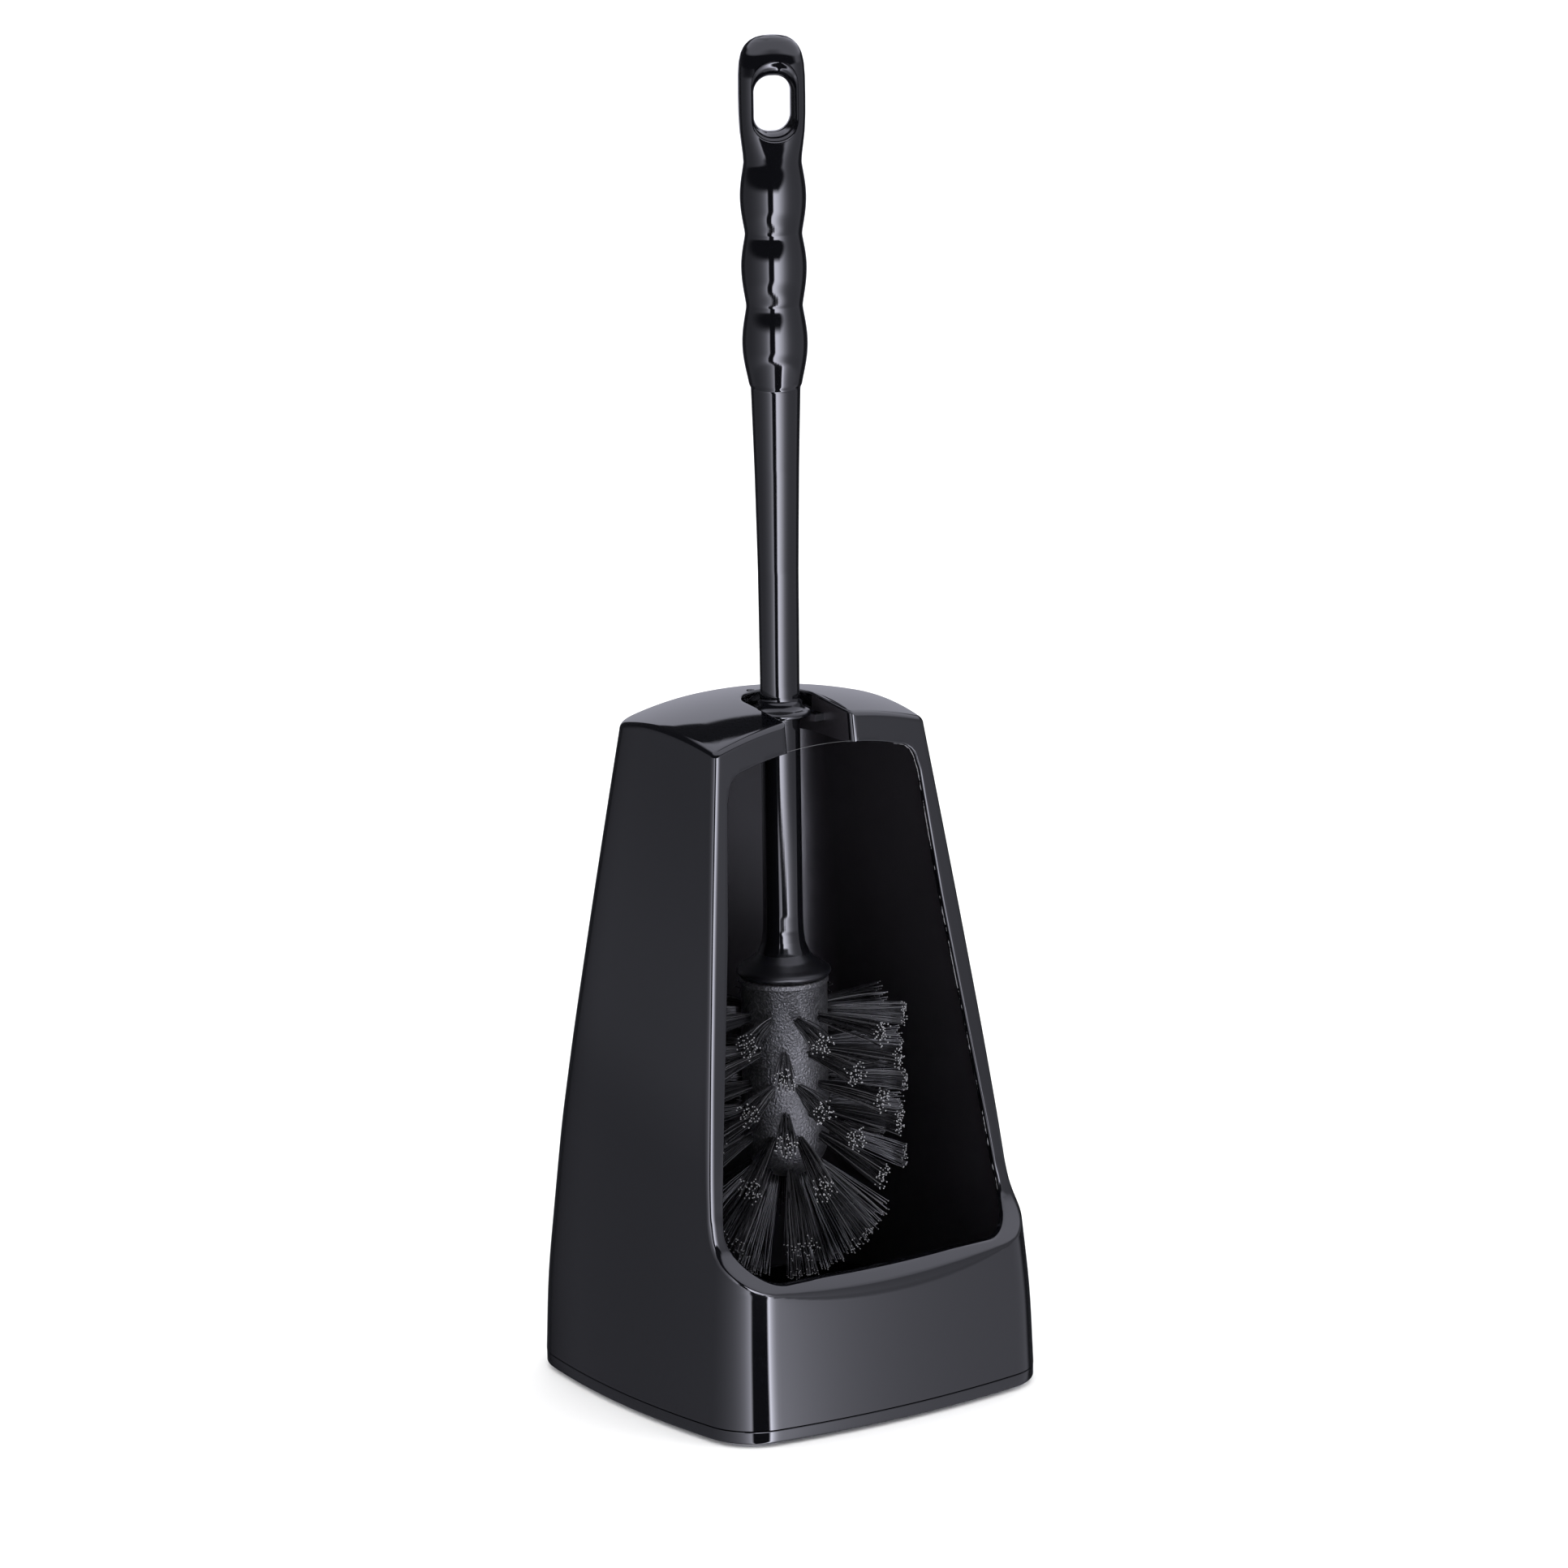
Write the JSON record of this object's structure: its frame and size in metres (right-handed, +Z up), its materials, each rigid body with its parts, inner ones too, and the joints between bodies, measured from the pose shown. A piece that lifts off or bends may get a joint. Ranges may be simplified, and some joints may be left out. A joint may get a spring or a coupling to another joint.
{
  "type": "toilet brush holder",
  "caption": "Tapering open-fronted toilet brush holder on a drip tray, with a round brush on a straight handle with a finger grip and hanging loop.",
  "frame": {"origin": "middle of the footprint at floor level, on the brush's upright axis", "axes": "+Z up along the brush, the open front faces -Y, +X to the right seen from the front"},
  "size_m": [0.1266, 0.1262, 0.4233],
  "materials": {
    "shell": "gloss black",
    "tray": "gloss black",
    "handle": "gloss black",
    "core": "fine sand texture, black",
    "bristles": "black nylon filaments with pale cut ends",
    "pads": "matte grey"
  },
  "bodies": {
    "base": {"base_tray": "tray", "foot_front_left": "pads", "foot_back_left": "pads", "foot_front_right": "pads", "foot_back_right": "pads"},
    "holder": {"housing": "shell"},
    "brush_handle": {"handle": "handle"},
    "brush_end": {"brush_head": "core", "tuft_1_01": "bristles", "tuft_1_02": "bristles", "tuft_1_03": "bristles", "tuft_1_04": "bristles", "tuft_1_05": "bristles", "tuft_1_06": "bristles", "tuft_1_07": "bristles", "tuft_1_08": "bristles", "tuft_1_09": "bristles", "tuft_1_10": "bristles", "tuft_2_01": "bristles", "tuft_2_02": "bristles", "tuft_2_03": "bristles", "tuft_2_04": "bristles", "tuft_2_05": "bristles", "tuft_2_06": "bristles", "tuft_2_07": "bristles", "tuft_2_08": "bristles", "tuft_2_09": "bristles", "tuft_2_10": "bristles", "tuft_3_01": "bristles", "tuft_3_02": "bristles", "tuft_3_03": "bristles", "tuft_3_04": "bristles", "tuft_3_05": "bristles", "tuft_3_06": "bristles", "tuft_3_07": "bristles", "tuft_3_08": "bristles", "tuft_3_09": "bristles", "tuft_3_10": "bristles", "tuft_4_01": "bristles", "tuft_4_02": "bristles", "tuft_4_03": "bristles", "tuft_4_04": "bristles", "tuft_4_05": "bristles", "tuft_4_06": "bristles", "tuft_4_07": "bristles", "tuft_4_08": "bristles", "tuft_4_09": "bristles", "tuft_4_10": "bristles", "tuft_5_01": "bristles", "tuft_5_02": "bristles", "tuft_5_03": "bristles", "tuft_5_04": "bristles", "tuft_5_05": "bristles", "tuft_5_06": "bristles", "tuft_5_07": "bristles", "tuft_5_08": "bristles", "tuft_5_09": "bristles", "tuft_5_10": "bristles", "tuft_crown_side": "bristles", "tuft_crown_end": "bristles"}
  },
  "joints": [
    {"name": "housing_lift", "type": "slide", "parent": "base", "child": "holder", "axis": [0, 0, 1], "range_m": [0, 0.06]},
    {"name": "handle_draw", "type": "slide", "parent": "holder", "child": "brush_handle", "axis": [0, -0.7986, 0.6018], "range_m": [0, 0.13]},
    {"name": "head_screw", "type": "hinge", "parent": "brush_handle", "child": "brush_end", "pos_m": [0, 0, 0.1292], "axis": [0, 0, 1], "range_deg": [0, 360]}
  ]
}
